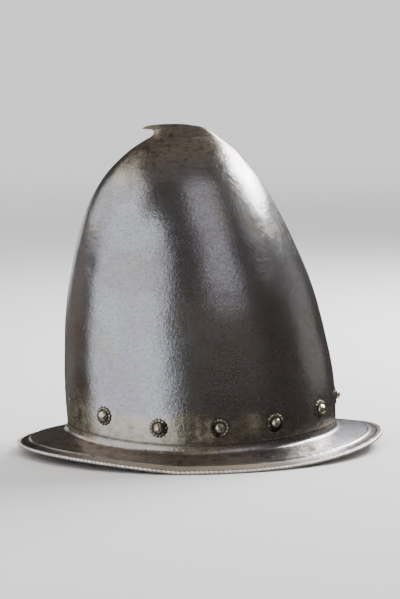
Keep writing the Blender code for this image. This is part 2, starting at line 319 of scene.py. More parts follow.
def edge_middle(turn):
    """An oval inside the brim's box by the edge's radius, drawn in towards the back by the squared cosine."""
    radius = EDGE_BEAD / 2.0
    behind = np.clip(-np.cos(turn), 0.0, 1.0)
    x = (BRIM_LENGTH / 2.0 - radius) * np.cos(turn)
    y = (BRIM_WIDTH / 2.0 - radius) * np.sin(turn) * (1.0 - BACK_POINT * behind ** 2)
    z = rim_lift(turn) + radius * math.sin(EDGE_REST)
    return np.stack([x, y, z], axis=-1)


def unit(vectors):
    """Vectors divided by their own lengths."""
    return vectors / np.linalg.norm(vectors, axis=-1, keepdims=True)


# %% Fillet, field and border of the brim
FILLET_ROWS = 8
FIELD_ROWS = 9
corner = foot_ring - np.array([0.0, 0.0, ROOT_FILLET])
edge = edge_middle(turn)
span = edge - corner
brim_reach = np.linalg.norm(span, axis=1, keepdims=True)
along = span / brim_reach
up = unit(np.cross(along, np.cross([0.0, 0.0, 1.0], along)))
neck = math.sqrt((EDGE_BEAD / 2.0) ** 2 - (WALL / 2.0) ** 2)
face_end = edge - along * neck + up * WALL / 2.0
slope = face_end - corner
after_fillet = corner + slope * (ROOT_FILLET / brim_reach)

share = (np.arange(1, FILLET_ROWS + 1) / FILLET_ROWS)[:, None, None]
fillet = (1 - share) ** 2 * foot_ring + 2 * share * (1 - share) * corner + share ** 2 * after_fillet

# The border's cross-section. Columns: distance from the edge's middle line and lift over the field, in mm.
BORDER_PROFILE = np.array([
    (14.5, 0.00),
    (12.9, 0.08),
    (11.6, 0.58),
    (10.4, 0.10),
    (9.0, -0.32),
    (6.8, -0.52),
    (4.8, -0.36),
    (3.5, -0.02),
    (2.7, 0.02),
    (2.0, -0.22),
    (1.6, -0.30),
]) * MM
BORDER_ROWS = 28
border_start = BORDER_PROFILE[0, 0]
border_places = np.linspace(border_start, neck, BORDER_ROWS)
border_lift = smooth_curve(-BORDER_PROFILE[:, 0], BORDER_PROFILE[:, 1:], -border_places)[:, 0]

field_share = np.linspace(0.0, 1.0, FIELD_ROWS + 2)[1:-1, None, None]
field_from = brim_reach - ROOT_FILLET
field = field_from + (border_start - field_from) * field_share
border_from_edge = np.broadcast_to(border_places[:, None, None], (BORDER_ROWS, COLUMNS, 1))
from_edge = np.concatenate([field, border_from_edge])
lift = np.concatenate([np.zeros(FIELD_ROWS), border_lift])[:, None, None]
brim = corner + slope * (1.0 - (from_edge - neck) / (brim_reach - neck)) + up * lift
outer = np.concatenate([crown, fillet, brim])
print("outer grid:", outer.shape)
print("brim reach: %.1f to %.1f mm" % (brim_reach.min() / MM, brim_reach.max() / MM))


# %% [markdown]
# A raised skull is never perfectly even: each hammer blow leaves a shallow facet, and planishing only
# softens them. The long, low waves are real shape, so they move the points. They are a sum of plane waves
# in random directions, each with the same steepness, which is what bends a reflection. Finer marks are left
# to the material.

# %% Hammered unevenness
WAVES = 36
LONGEST_WAVE = 52.0 * MM
SHORTEST_WAVE = 13.0 * MM
STEEPNESS = 0.0100
HAMMER_SEED = 1580
chance = np.random.default_rng(HAMMER_SEED)
wave_direction = unit(chance.normal(size=(WAVES, 3)))
wave_length = SHORTEST_WAVE * (LONGEST_WAVE / SHORTEST_WAVE) ** chance.random(WAVES)
wave_phase = chance.random(WAVES) * TAU


def hammering(points):
    """Sum of sines along the waves' directions, each as tall as its length times its share of steepness."""
    phase = points @ (wave_direction / wave_length[:, None]).T * TAU + wave_phase
    height = wave_length * STEEPNESS / TAU * 2.0 / math.sqrt(WAVES)
    return np.sin(phase) @ height


# Shallow dents. Columns: place in mm (x, y, z), radius in mm, depth in mm.
DENTS = np.array([
    (-96.5, -45.6, 173.3, 5.0, 0.35),
    (-106.0, -49.7, 67.0, 9.0, 0.25),
    (60.0, 55.0, 190.0, 14.0, 0.50),
    (-70.0, 80.0, 120.0, 18.0, 0.45),
    (84.0, -42.0, 164.0, 11.0, 0.30),
    (30.0, 92.0, 70.0, 12.0, 0.40),
]) * MM


def dents(points):
    """Bells: depth times the exponential of minus the squared distance over the squared radius."""
    away = np.linalg.norm(points[..., None, :] - DENTS[:, :3], axis=-1)
    return -(np.exp(-(away / DENTS[:, 3]) ** 2) @ DENTS[:, 4])


# %% Surface normals, and the crease at the foot
def grid_normals(grid):
    """Cross product of the step down the rows and the step round the columns, made one unit long."""
    down = np.gradient(grid, axis=0)
    round_about = np.roll(grid, -1, axis=1) - np.roll(grid, 1, axis=1)
    return unit(np.cross(down, round_about))


def bell(value, middle, width, strength=1.0):
    """The strength times the exponential of minus ((value - middle) / width) squared."""
    return strength * np.exp(-((value - middle) / width) ** 2)


def fade(value, start, width, strength=1.0):
    """Zero up to the start, then an even rise that reaches the strength one width further on."""
    return strength * np.clip((value - start) / width, 0.0, 1.0)


# A crease runs round the crown's foot: its height above the foot, width and depth.
CREASE = (1.2 * MM, 0.8 * MM, 0.24 * MM)
normals = grid_normals(outer)
even_rows = np.ones(CROWN_ROWS + FILLET_ROWS + FIELD_ROWS)
steady = np.concatenate([even_rows, np.linspace(1.0, 0.0, BORDER_ROWS)])
offset = (hammering(outer) + dents(outer)) * steady[:, None]
above_foot = outer[..., 2] - foot_ring[:, 2]
offset -= bell(above_foot, *CREASE)
outer = outer + normals * offset[..., None]
normals = grid_normals(outer)
print("unevenness: %.2f to %.2f mm" % (offset.min() / MM, offset.max() / MM))

# %% [markdown]
# The inside is the same sheet seen from behind: the outer surface moved inwards by the wall's thickness. It
# needs fewer rows, because it is rougher and hardly catches light. The stalk above the shoulder is solid
# steel, so the hollow ends below it in a small dome.

# %% Inner face and the closed skull
INNER_BORDER_STEP = 4
INNER_BRIM_STEP = 2
INNER_CROWN_STEP = 3
from_shoulder = np.abs(smooth_rows[:, 1]) + np.abs(smooth_rows[:, 0] - 1.0) * SHOULDER_HEIGHT
shoulder_row = int(np.argmin(from_shoulder))
outer_rows = outer.shape[0]
last_row = outer_rows - 1
inner_rows = np.concatenate([
    np.arange(last_row, last_row - BORDER_ROWS, -INNER_BORDER_STEP),
    np.arange(last_row - BORDER_ROWS, CROWN_ROWS - 1, -INNER_BRIM_STEP),
    np.arange(CROWN_ROWS - 1, shoulder_row, -INNER_CROWN_STEP),
])
inner = (outer - WALL * normals)[inner_rows]
CAP_ROWS = 4
CAP_RISE = 3.0 * MM
cap_centre = inner[-1].mean(axis=0)
cap_share = (np.arange(1, CAP_ROWS + 1) / (CAP_ROWS + 1))[:, None, None]
cap = inner[-1] + (cap_centre - inner[-1]) * cap_share
cap[..., 2:] += CAP_RISE * (1.0 - (1.0 - cap_share) ** 2)
cap_top = cap_centre + np.array([0.0, 0.0, CAP_RISE])
all_rings = np.concatenate([outer, inner, cap])
top_point = np.array([-section_rows[0, 2], 0.0, skull_high.z])
skull_mesh = closed_skin("steel_skull", all_rings, top_point, cap_top)
print("skull grid:", all_rings.shape, "triangles about", 2 * all_rings.shape[0] * COLUMNS)

# %% [markdown]
# Where shade is painted, where hands have rubbed and where brown lies is stored on the points, so the
# material can follow the shape. Shade is painted dark into the crease above the fillet, beside the turned
# edge, in the border's sunken groove and, at the brim's two tips, in the cove. Along the sides the cove is
# worn pale instead, like the beak and the back of the crown. Brown lies on the top, round the foot and on the
# brim, thinner towards its front. The inside needs no marks, since its finish is the same all over.

# %% Marks for the material
# Bells: middle, width and strength.
# The first paints shade into the crease above the fillet.
CREASE_SHADE = (1.1 * MM, 1.1 * MM, 0.85)
BROWN_FOOT = (27.0 * MM, 9.0 * MM, 0.35)
GOLDEN_FOOT = (10.0 * MM, 14.0 * MM)
# Fades along a length: start, width and, where it isn't one, strength.
COVE_SIDE = (9.2 * MM, 1.0 * MM)
LIP_SIDE = (2.3 * MM, 0.6 * MM)
# The groove's fade paints shade where the border sinks below the field.
GROOVE_SHADE = (0.0, 0.36 * MM, 0.2)
WORN_BEAK_HEIGHT = (279.0 * MM, 3.0 * MM, 0.45)
WORN_BEAK_REACH = (26.0 * MM, 8.0 * MM)
WORN_BACK_REACH = (108.0 * MM, 10.0 * MM, 0.30)
WORN_BACK_LOWEST = 24.0 * MM
BROWN_TOP = (246.0 * MM, 28.0 * MM, 0.85)
# Fades round the helmet, by the cosine of the turn: start, width and, where it isn't one, strength.
# Painted shade in the cove at the brim's two tips.
TIP_SHADE = (0.70, 0.16)
BACK_TIP_DELAY = 0.12
WORN_SIDE = (0.30, 0.40)
WORN_COVE = 0.85
BROWN_BRIM = 1.0
BROWN_BRIM_FRONT = (0.25, 0.25, 0.54)
BROWN_FILLET_ROWS = 2
COVE_PALER = 0.6
GOLDEN_SIDE = 0.60
GOLDEN_FRONT = (0.05, 0.40, 0.45)

ahead = np.cos(turn)
height = outer[..., 2]
backward = -outer[..., 0]
border = slice(outer_rows - BORDER_ROWS, outer_rows)
in_cove = 1.0 - fade(border_places, *COVE_SIDE)
by_the_edge = 1.0 - fade(border_places, *LIP_SIDE)
at_the_tips = fade(np.where(ahead > 0.0, ahead, -BACK_TIP_DELAY - ahead), *TIP_SHADE)
# Painted shade on the points: the crease, the strip by the edge, the sunken groove and the cove at the tips.
painted_shade = np.zeros(all_rings.shape[:2])
painted_shade[:outer_rows] = bell(above_foot, *CREASE_SHADE)
cove_shade = fade(-border_lift, *GROOVE_SHADE)[:, None] + in_cove[:, None] * at_the_tips
painted_shade[border] = np.maximum(by_the_edge[:, None], cove_shade)

worn = np.zeros(all_rings.shape[:2])
worn_share = np.sin(turn) ** 2 * (1.0 - fade(ahead, *WORN_SIDE))
worn[border] = WORN_COVE * (in_cove - by_the_edge)[:, None] * worn_share
worn[:outer_rows] += fade(height, *WORN_BEAK_HEIGHT) * fade(backward, *WORN_BEAK_REACH)
worn[:outer_rows] += fade(backward, *WORN_BACK_REACH) * (height > WORN_BACK_LOWEST)

brown = np.zeros(all_rings.shape[:2])
brown[:outer_rows] = fade(height, *BROWN_TOP) + bell(height, *BROWN_FOOT)
brown[CROWN_ROWS + FILLET_ROWS - BROWN_FILLET_ROWS:outer_rows] = BROWN_BRIM - fade(ahead, *BROWN_BRIM_FRONT)
brown[border] *= 1.0 - COVE_PALER * in_cove[:, None]
print("rows with marks:", outer_rows, "of them on the border:", BORDER_ROWS)

# %% Stains
# Columns: place in mm (x, y, z), radius in mm, and strength.
RUST_STAINS = np.array([
    (-106.0, -49.7, 67.0, 12.0, 0.9),
    (-112.0, -40.0, 110.0, 20.0, 0.5),
    (-108.0, -46.0, 40.0, 14.0, 0.6),
    (70.0, 68.0, 60.0, 16.0, 0.6),
    (-60.0, 84.0, 40.0, 14.0, 0.5),
])
GOLD_STAINS = np.array([
    (-100.0, -55.9, 26.0, 14.0, 0.9),
    (-20.0, -99.0, 30.0, 16.0, 0.8),
    (40.6, -95.0, 35.4, 13.0, 0.6),
    (-2.0, -100.0, 26.0, 18.0, 0.7),
    (-35.0, -20.0, 288.0, 28.0, 0.6),
    (10.0, -20.0, 280.0, 24.0, 0.5),
    (-62.0, -30.0, 262.0, 20.0, 0.6),
    (-104.0, -40.0, 42.0, 22.0, 0.6),
    (60.0, 80.0, 45.0, 16.0, 0.7),
])


def stained(points, table):
    """Bells: strength times the exponential of minus the squared distance over the squared radius."""
    away = np.linalg.norm(points[..., None, :] / MM - table[:, :3], axis=-1)
    return np.clip(np.exp(-(away / table[:, 3]) ** 2) @ table[:, 4], 0.0, 1.0)


rust = stained(all_rings, RUST_STAINS)
gold = stained(all_rings, GOLD_STAINS)
golden_foot = (GOLDEN_SIDE - fade(ahead, *GOLDEN_FRONT)) * bell(above_foot, *GOLDEN_FOOT)
gold[:outer_rows] = np.maximum(gold[:outer_rows], golden_foot)
marks = {"rust": rust, "gold": gold, "painted_shade": painted_shade, "worn": worn, "brown": brown}
for name, values in marks.items():
    set_attribute(skull_mesh, name, np.append(values, [0.0, 0.0]))
print("marks stored:", ", ".join(marks))

# %% [markdown]
# Now the finishes. Blender draws metal with one shader whose colour, roughness and small bumps come from
# patterns worked out in the object's own space, so they stay put on the piece from every side. A short
# helper adds a node and links what feeds it, which keeps each material readable as a list.

# %% A helper for shader nodes
class Finish:
    """One material, with short calls that add a node and return the socket that leaves it."""

    def __init__(self, name):
        self.material = bpy.data.materials.new(name)
        self.material.use_nodes = True
        self.tree = self.material.node_tree
        self.shader = self.tree.nodes["Principled BSDF"]
        self.place = self.tree.nodes.new("ShaderNodeTexCoord").outputs["Object"]

    def add(self, kind, output=0, inputs=None, **settings):
        """A node of this kind: inputs are linked when they are sockets and set when they are values."""
        node = self.tree.nodes.new("ShaderNode" + kind)
        for name, value in settings.items():
            setattr(node, name, value)
        for name, value in (inputs or {}).items():
            self.feed(node.inputs[name], value)
        return node.outputs[output]

    def feed(self, socket, value):
        """Links a socket to a socket, or stores a plain value in it."""
        if isinstance(value, bpy.types.NodeSocket):
            self.tree.links.new(value, socket)
        else:
            socket.default_value = value

    def shade(self, name, value):
        """Feeds one of the shader's own inputs."""
        self.feed(self.shader.inputs[name], value)

    def noise(self, scale, detail, roughness, place=None):
        """Fractal noise: scale in waves per metre, how many finer layers, and how strong they are."""
        settings = {"Vector": place or self.place, "Scale": scale, "Detail": detail, "Roughness": roughness}
        return self.add("TexNoise", inputs=settings)

    def ramp(self, value, low, high, from_value=0.0, to_value=1.0):
        """Smooth step: from_value below low, to_value above high."""
        settings = {
            "Value": value, "From Min": low, "From Max": high, "To Min": from_value, "To Max": to_value,
        }
        return self.add("MapRange", inputs=settings, interpolation_type="SMOOTHSTEP")

    def mix(self, amount, first, second):
        """Blend of two colours by the amount."""
        settings = {0: amount, 6: first, 7: second}
        return self.add("Mix", output=2, inputs=settings, data_type="RGBA")

    def maths(self, operation, first, second):
        """Arithmetic on two numbers."""
        return self.add("Math", inputs={0: first, 1: second}, operation=operation)

    def times(self, first, second):
        """Product of two numbers."""
        return self.maths("MULTIPLY", first, second)

    def stretched(self, x, y, z):
        """Object coordinates, scaled along each axis to draw a pattern out."""
        return self.add("Mapping", inputs={"Vector": self.place, "Scale": (x, y, z)})

    def attribute(self, name):
        """A number stored on the points."""
        return self.add("Attribute", output="Fac", attribute_name=name)

    def bump(self, height, distance, below=None):
        """Bump of this height in metres, over an earlier bump."""
        settings = {"Height": height, "Distance": distance, "Strength": 1.0}
        if below is not None:
            settings["Normal"] = below
        return self.add("Bump", inputs=settings)


# %% [markdown]
# The steel was once bright. Four centuries have turned it a warm dark grey with violet and olive tints.
# Golden blotches stain the foot and the top, brown covers the brim, and dark scuffs cross it. Fine pits
# stay where rust was cleaned away, over an orange peel left by old corrosion. Reflections stay, but soft,
# and stained parts shine less.

# %% Old steel
CLEAN_STEEL = (0.50, 0.50, 0.51, 1.0)
PATINA = (0.36, 0.325, 0.29, 1.0)
VIOLET_TINT = (0.47, 0.43, 0.48, 1.0)
OLIVE_TINT = (0.47, 0.43, 0.33, 1.0)
DARK_GRAIN = (0.22, 0.19, 0.17, 1.0)
PIT = (0.10, 0.080, 0.065, 1.0)
RUST = (0.30, 0.17, 0.10, 1.0)
WARM_STEEL = (0.60, 0.54, 0.42, 1.0)
GOLDEN_BLOTCH = (0.31, 0.25, 0.145, 1.0)
BROWN = (0.20, 0.155, 0.125, 1.0)
SCUFF = (0.085, 0.070, 0.058, 1.0)
WORN_METAL = (0.36, 0.29, 0.19, 1.0)
# Colour of the painted shade.
STEEL_SHADE = (0.055, 0.040, 0.030, 1.0)


def tinted_grey(finish, patina):
    """Grey that drifts to brown, violet and olive in patches, with a dark grain and pits."""
    color = finish.mix(patina, CLEAN_STEEL, PATINA)
    violet = finish.ramp(finish.noise(22.0, 3.0, 0.6), 0.45, 0.70)
    color = finish.mix(violet, color, finish.mix(0.7, color, VIOLET_TINT))
    olive = finish.ramp(finish.noise(31.0, 4.0, 0.65), 0.50, 0.72)
    color = finish.mix(olive, color, finish.mix(0.7, color, OLIVE_TINT))
    grain = finish.noise(900.0, 3.0, 0.65)
    color = finish.mix(finish.ramp(grain, 0.35, 0.60, 0.45, 0.0), color, DARK_GRAIN)
    pits = finish.ramp(finish.noise(420.0, 3.0, 0.5), 0.28, 0.36, 1.0, 0.0)
    return finish.mix(finish.times(pits, 0.45), color, PIT), grain


def hammered_bumps(finish):
    """Three layers: long ripples round the crown, orange peel, and sand-like grain."""
    ripple = finish.noise(1.0, 2.0, 0.5, finish.stretched(90.0, 90.0, 300.0))
    ripple_strength = finish.ramp(finish.noise(25.0, 2.0, 0.5), 0.35, 0.65, 0.2, 1.0)
    wavy = finish.bump(finish.times(ripple, ripple_strength), 0.00014)
    peel = finish.bump(finish.noise(340.0, 3.0, 0.55), 0.00016, wavy)
    return finish.bump(finish.noise(620.0, 3.0, 0.6), 0.00013, peel)


def old_steel():
    """Tinted grey metal under what the points' marks place: rust, gold and brown stains, wear and painted
    shade.
    """
    finish = Finish("old_steel")
    cloud = finish.noise(11.0, 3.0, 0.55)
    mottle = finish.noise(120.0, 4.0, 0.6)
    patina = finish.ramp(finish.maths("ADD", cloud, finish.times(mottle, 0.3)), 0.55, 0.95)
    color, grain = tinted_grey(finish, patina)

    rust = finish.times(finish.attribute("rust"), finish.ramp(mottle, 0.35, 0.6, 0.4, 1.0))
    color = finish.mix(rust, color, RUST)
    color = finish.mix(finish.ramp(finish.attribute("gold"), 0.0, 0.5, 0.0, 0.85), color, WARM_STEEL)
    gold = finish.times(finish.attribute("gold"), finish.ramp(mottle, 0.32, 0.76, 0.0, 0.9))
    color = finish.mix(gold, color, GOLDEN_BLOTCH)
    brown = finish.times(finish.attribute("brown"), finish.ramp(mottle, 0.2, 0.6, 0.65, 0.9))
    color = finish.mix(brown, color, BROWN)
    scuffs = finish.ramp(finish.noise(1.0, 5.0, 0.72, finish.stretched(150.0, 150.0, 380.0)), 0.50, 0.62)
    scuffed = finish.times(scuffs, finish.ramp(brown, 0.0, 0.7, 0.14, 0.75))
    color = finish.mix(scuffed, color, SCUFF)
    worn = finish.times(finish.attribute("worn"), finish.ramp(mottle, 0.25, 0.6, 0.6, 1.0))
    color = finish.mix(worn, color, WORN_METAL)
    # Painted shade from the points' marks darkens the colour, and below it roughens it.
    shade_mask = finish.times(finish.attribute("painted_shade"), finish.ramp(mottle, 0.25, 0.6, 0.55, 1.0))
    color = finish.mix(shade_mask, color, STEEL_SHADE)
    finish.shade("Base Color", color)

    golden_dull = finish.times(gold, 0.8)
    brown_dull = finish.times(brown, 0.35)
    dull = finish.maths("MAXIMUM", worn, finish.maths("MAXIMUM", golden_dull, brown_dull))
    finish.shade("Metallic", finish.ramp(dull, 0.0, 1.0, 0.98, 0.35))

    patina_rough = finish.ramp(patina, 0.0, 1.0, 0.21, 0.30)
    rough = finish.maths("ADD", patina_rough, finish.ramp(grain, 0.3, 0.7, 0.05, -0.03))
    rough = finish.maths("ADD", rough, finish.times(shade_mask, 0.25))
    rough = finish.maths("ADD", rough, finish.times(worn, 0.25))
    finish.shade("Roughness", rough)
    finish.shade("Normal", hammered_bumps(finish))
    return finish.material


# %% Rubbed edge with painted shade
DULL_EDGE = (0.66, 0.56, 0.48, 1.0)
BRIGHT_EDGE = (0.92, 0.84, 0.75, 1.0)
# Colour of the shade painted into the notches and underneath.
EDGE_SHADE = (0.060, 0.045, 0.035, 1.0)


def rubbed_and_shaded_edge():
    """The roped edge, pale where hands have rubbed it, with shade painted dark into its notches and
    underneath.
    """
    finish = Finish("rubbed_and_shaded_edge")
    mottle = finish.ramp(finish.noise(160.0, 3.0, 0.6), 0.30, 0.65)
    color = finish.mix(mottle, DULL_EDGE, BRIGHT_EDGE)
    # Painted shade in the notches and underneath.
    shade_mask = finish.attribute("painted_shade")
    color = finish.mix(shade_mask, color, EDGE_SHADE)
    finish.shade("Base Color", color)
    finish.shade("Roughness", finish.ramp(shade_mask, 0.0, 1.0, 0.32, 0.60))
    finish.shade("Metallic", 0.45)
    return finish.material


# %% Unpolished inside
FORGE_SCALE = (0.075, 0.064, 0.057, 1.0)
INSIDE_RUST = (0.135, 0.088, 0.060, 1.0)


def raw_inside():
    """The inside keeps its forge scale: dark brown, rough and blotched with rust."""
    finish = Finish("raw_inside")
    blotch = finish.ramp(finish.noise(75.0, 6.0, 0.72), 0.34, 0.74)
    color = finish.mix(blotch, FORGE_SCALE, INSIDE_RUST)
    finish.shade("Base Color", color)
    finish.shade("Roughness", finish.ramp(blotch, 0.0, 1.0, 0.55, 0.85))
    finish.shade("Metallic", 0.55)
    scale = finish.bump(finish.noise(170.0, 5.0, 0.65), 0.0004)
    finish.shade("Normal", scale)
    return finish.material


steel = old_steel()
inside_steel = raw_inside()
skull = add_piece("steel_skull", skull_mesh, "aged_steel", ["skull"], steel, inside_steel)
face_rows = np.arange(len(skull_mesh.polygons)) // COLUMNS
is_inside = (face_rows >= outer_rows).astype(np.int32)
# The last two sets of faces are the fans at the poles, and the top one belongs to the outside.
is_inside[-2 * COLUMNS:-COLUMNS] = 0
skull_mesh.polygons.foreach_set("material_index", is_inside)
print("skull faces:", len(skull_mesh.polygons), "inside:", int(is_inside.sum()))

# %% [markdown]
# The brim's edge is turned over and filed with slanting notches, so it looks like a rope. It is a tube
# along the edge's middle line. Its radius shrinks in each notch, and the notches slant because the
# pattern's phase grows both along the edge and round the tube. Underneath it is worn flat, where the helmet
# has stood.

# %% Roped edge
ROPE_PITCH = 4.1 * MM
NOTCH_COLUMNS = 8
TUBE_ROWS = 12
NOTCH_DEPTH = 0.34
NOTCH_SLANT = 1.0
NOTCH_ROUNDNESS = 0.45
# The next four set the shade painted into the notches and under the edge.
NOTCH_SHADE = 1.5
NOTCH_SHADE_FALL = 2.1
UNDERSIDE_FADE = (-1.0 / 3.0, 2.0 / 3.0)
UNDERSIDE_SHADE = 0.8
fine_turn = np.linspace(0.0, TAU, FINE_STEPS)
fine_steps = np.linalg.norm(np.diff(edge_middle(fine_turn), axis=0), axis=1)
fine_length = np.concatenate([[0.0], np.cumsum(fine_steps)])
notches = round(fine_length[-1] / ROPE_PITCH)
rope_columns = notches * NOTCH_COLUMNS
rope_share = np.arange(rope_columns) / rope_columns
rope_turn = np.interp(rope_share * fine_length[-1], fine_length, fine_turn)


def rope_grid(share, turn, around):
    """Circle round the middle line; its radius falls by the notch depth where the slanted sine is small."""
    middle = edge_middle(turn)
    across_edge = [np.cos(turn) * BRIM_WIDTH, np.sin(turn) * BRIM_LENGTH, np.zeros_like(turn)]
    outward = unit(np.stack(across_edge, axis=-1))
    phase = math.pi * (share * notches + NOTCH_SLANT * around[:, None] / TAU)
    bulge = np.abs(np.sin(phase)) ** NOTCH_ROUNDNESS
    radius = EDGE_BEAD / 2.0 * (1.0 - NOTCH_DEPTH * (1.0 - bulge))
    reach = radius * np.cos(around)[:, None]
    lowest = -EDGE_BEAD / 2.0 * math.sin(EDGE_REST)
    climb = np.maximum(radius * np.sin(around)[:, None], lowest)
    points = middle + outward * reach[..., None]
    points[..., 2] += climb
    return points, bulge


around = turns(TUBE_ROWS)
rope, rope_bulge = rope_grid(rope_share, rope_turn, -around)
rope_mesh = smooth_mesh("roped_edge", rope, grid_faces(TUBE_ROWS, rope_columns, True).tolist())
# Shade is painted dark into the notches and under the edge.
underneath = 1.0 - fade(np.sin(-around)[:, None], *UNDERSIDE_FADE)
notch_shade = np.clip(NOTCH_SHADE - NOTCH_SHADE_FALL * rope_bulge, 0.0, 1.0)
set_attribute(rope_mesh, "painted_shade", np.maximum(notch_shade, UNDERSIDE_SHADE * underneath))
add_piece("roped_edge", rope_mesh, "aged_steel", ["skull"], rubbed_and_shaded_edge())
print("notches:", notches, "edge length %.0f mm" % (fine_length[-1] / MM))

# %% [markdown]
# Twelve rivets once held the lining strap; a thirteenth is lost. Each has a domed head on a rosette: a
# little washer with a scalloped, raised rim. Their places come from the construction model. The flattest
# direction of a washer's points is the wall's own direction there, which a singular value decomposition
# finds.

# %% Where each rivet sits
def seat_of(node):
    """A washer's place on the wall, and its axes: to the side, up the wall and straight out of it."""
    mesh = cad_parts[node].data
    points = np.empty(len(mesh.vertices) * 3)
    mesh.vertices.foreach_get("co", points)
    points = np.unique(points.reshape(-1, 3).round(7), axis=0)
    middle = (points.min(axis=0) + points.max(axis=0)) / 2.0
    out = np.linalg.svd(points - points.mean(axis=0))[2][2]
    out *= np.sign(out @ np.array([middle[0], middle[1], 0.0]))
    up = unit(np.array([0.0, 0.0, 1.0]) - out * out[2])
    axes = np.array([np.cross(up, out), up, out])
    underside = ((points - middle) @ out).min()
    return middle + out * underside, axes


washers = sorted(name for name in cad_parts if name.startswith("washer"))
seats = {name: seat_of(name) for name in washers}
print("washers:", len(seats))

# %% [markdown]
# A rosette is a height field over a disc. The height follows a short profile from the bore to the rim, and
# a cosine with fourteen waves scallops both the outline and the rim. It is bent a little, as the real ones
# were hammered to lie on the round crown.

# %% Rosette
WASHER_RADIUS = 8.6 * MM
WASHER_RIM = 1.6 * MM
LOBES = 14
LOBE_DEPTH = 0.9 * MM
LOBE_COLUMNS = 8
LOBE_RELIEF = 0.45
BORE = 2.0 * MM
SPIN_STEP = 0.7
ROSETTE_SEED = 70
SIDE_WEAR = 0.85
LOBE_WEAR = 0.55
WEAR_RELIEF = 0.45
# Columns: share of the radius from bore to outline, share of the rim's height, how far the lobes shape it.
ROSETTE_PROFILE = np.array([
    (0.00, 0.50, 0.0),
    (0.30, 0.52, 0.0),
    (0.40, 0.36, 0.1),
    (0.52, 0.36, 0.4),
    (0.60, 0.64, 0.8),
    (0.68, 0.94, 1.0),
    (0.77, 1.00, 1.0),
    (0.86, 0.84, 1.0),
    (0.92, 0.48, 1.0),
    (0.95, 0.14, 0.6),
    (1.00, 0.08, 0.2),
    (1.00, 0.00, 0.2),
])
rosette_turn = turns(LOBES * LOBE_COLUMNS)


def wall_radius(turn):
    """Radius of the crown's oval where a rivet sits: the ellipse's own curvature formula."""
    length, width = half_length, half_width
    square = (length * np.sin(turn)) ** 2 + (width * np.cos(turn)) ** 2
    return square ** 1.5 / (length * width)


def rosette_wear(number):
    """How far each column is worn down: more on one side, and by chance on each lobe."""
    luck = np.random.default_rng(ROSETTE_SEED + number)
    side = 0.5 + 0.5 * np.cos(rosette_turn - luck.uniform(0.0, TAU))
    each = np.repeat(luck.random(LOBES), LOBE_COLUMNS)
    each = np.roll(each, -LOBE_COLUMNS // 2)
    return np.clip(SIDE_WEAR * side ** 2 + LOBE_WEAR * each ** 2, 0.0, 1.0)


def rosette_grid(spin, bend, wear):
    """The profile's rings, scalloped by a raised cosine's root and bent by x squared over twice the bend."""
    share, height, shaped = [column[:, None] for column in ROSETTE_PROFILE.T]
    lobe = np.sqrt(0.5 + 0.5 * np.cos(LOBES * rosette_turn))
    outline = WASHER_RADIUS - LOBE_DEPTH * (1.0 - lobe)
    radius = BORE + (outline - BORE) * share
    scallop = 1.0 - LOBE_RELIEF * shaped * (1.0 - lobe)
    rise = WASHER_RIM * height * scallop * (1.0 - WEAR_RELIEF * wear * shaped)
    x = radius * np.cos(rosette_turn + spin)
    y = radius * np.sin(rosette_turn + spin)
    wall = -x ** 2 / (2.0 * bend)
    upper = np.stack([x, y, wall + rise], axis=-1)[:-1]
    under = np.stack([x, y, wall], axis=-1)[[-1, 0]]
    return np.concatenate([upper, under]), lobe


# %% Domed rivet
HEAD_RADIUS = 4.3 * MM
HEAD_HEIGHT = 4.0 * MM
SEAT_HEIGHT = 0.9 * MM
SHANK_RADIUS = 1.7 * MM
CLENCH_RADIUS = 2.6 * MM
CLENCH_HEIGHT = 0.9 * MM
CLEARANCE = 0.3 * MM
RIVET_COLUMNS = 40
DOME_ROWS = 12
DOME_FULLNESS = 0.85
DOME_TOP = 0.93
RIVET_SEED = 300
FLATS = 3
FLAT_SPREAD = 0.7
FLAT_NEAREST = 0.90
FLAT_VARIATION = 0.05
FLAT_FIRMNESS = 0.8
rivet_turn = turns(RIVET_COLUMNS)


def rivet_profile():
    """Radius and height: a full quarter ellipse for the dome, then the shank and the clenched end inside."""
    arc = np.linspace(0.0, math.pi / 2.0, DOME_ROWS + 1)[1:]
    dome_height = SEAT_HEIGHT + CLEARANCE + HEAD_HEIGHT * np.cos(arc) ** DOME_FULLNESS
    dome = np.column_stack([HEAD_RADIUS * np.sin(arc), dome_height])
    inside = -2.0 * CLEARANCE - WALL
    # Columns: radius and height, from under the head down the shank to the end inside.
    rest = np.array([
        (HEAD_RADIUS * 0.93, SEAT_HEIGHT + CLEARANCE * 0.2),
        (SHANK_RADIUS, SEAT_HEIGHT),
        (SHANK_RADIUS, inside),
        (CLENCH_RADIUS, inside - 0.15 * MM),
        (CLENCH_RADIUS * 0.94, inside - CLENCH_HEIGHT * 0.6),
        (CLENCH_RADIUS * 0.60, inside - CLENCH_HEIGHT * 0.95),
    ])
    return np.concatenate([dome, rest])


def dome_blows(number):
    """Three shallow flats per head, left by the hammer: a direction on the dome, and how far it is cut."""
    luck = np.random.default_rng(RIVET_SEED + number)
    facing = unit(np.column_stack([luck.normal(size=(FLATS, 2)) * FLAT_SPREAD, np.ones(FLATS)]))
    return facing, FLAT_NEAREST + FLAT_VARIATION * luck.random(FLATS)


def rivet_grid(number):
    """The turned profile, with the dome's points drawn back to each flat that they stand out from."""
    radius, height = rivet_profile().T[:, :, None]
    base = np.array([0.0, 0.0, SEAT_HEIGHT])
    facing, reach = dome_blows(number)
    from_base = turned(radius, height, rivet_turn) - base
    for direction, limit in zip(facing, reach):
        proud = np.maximum(from_base @ direction - limit * HEAD_HEIGHT, 0.0)
        from_base = from_base - proud[..., None] * direction * FLAT_FIRMNESS
    return from_base + base


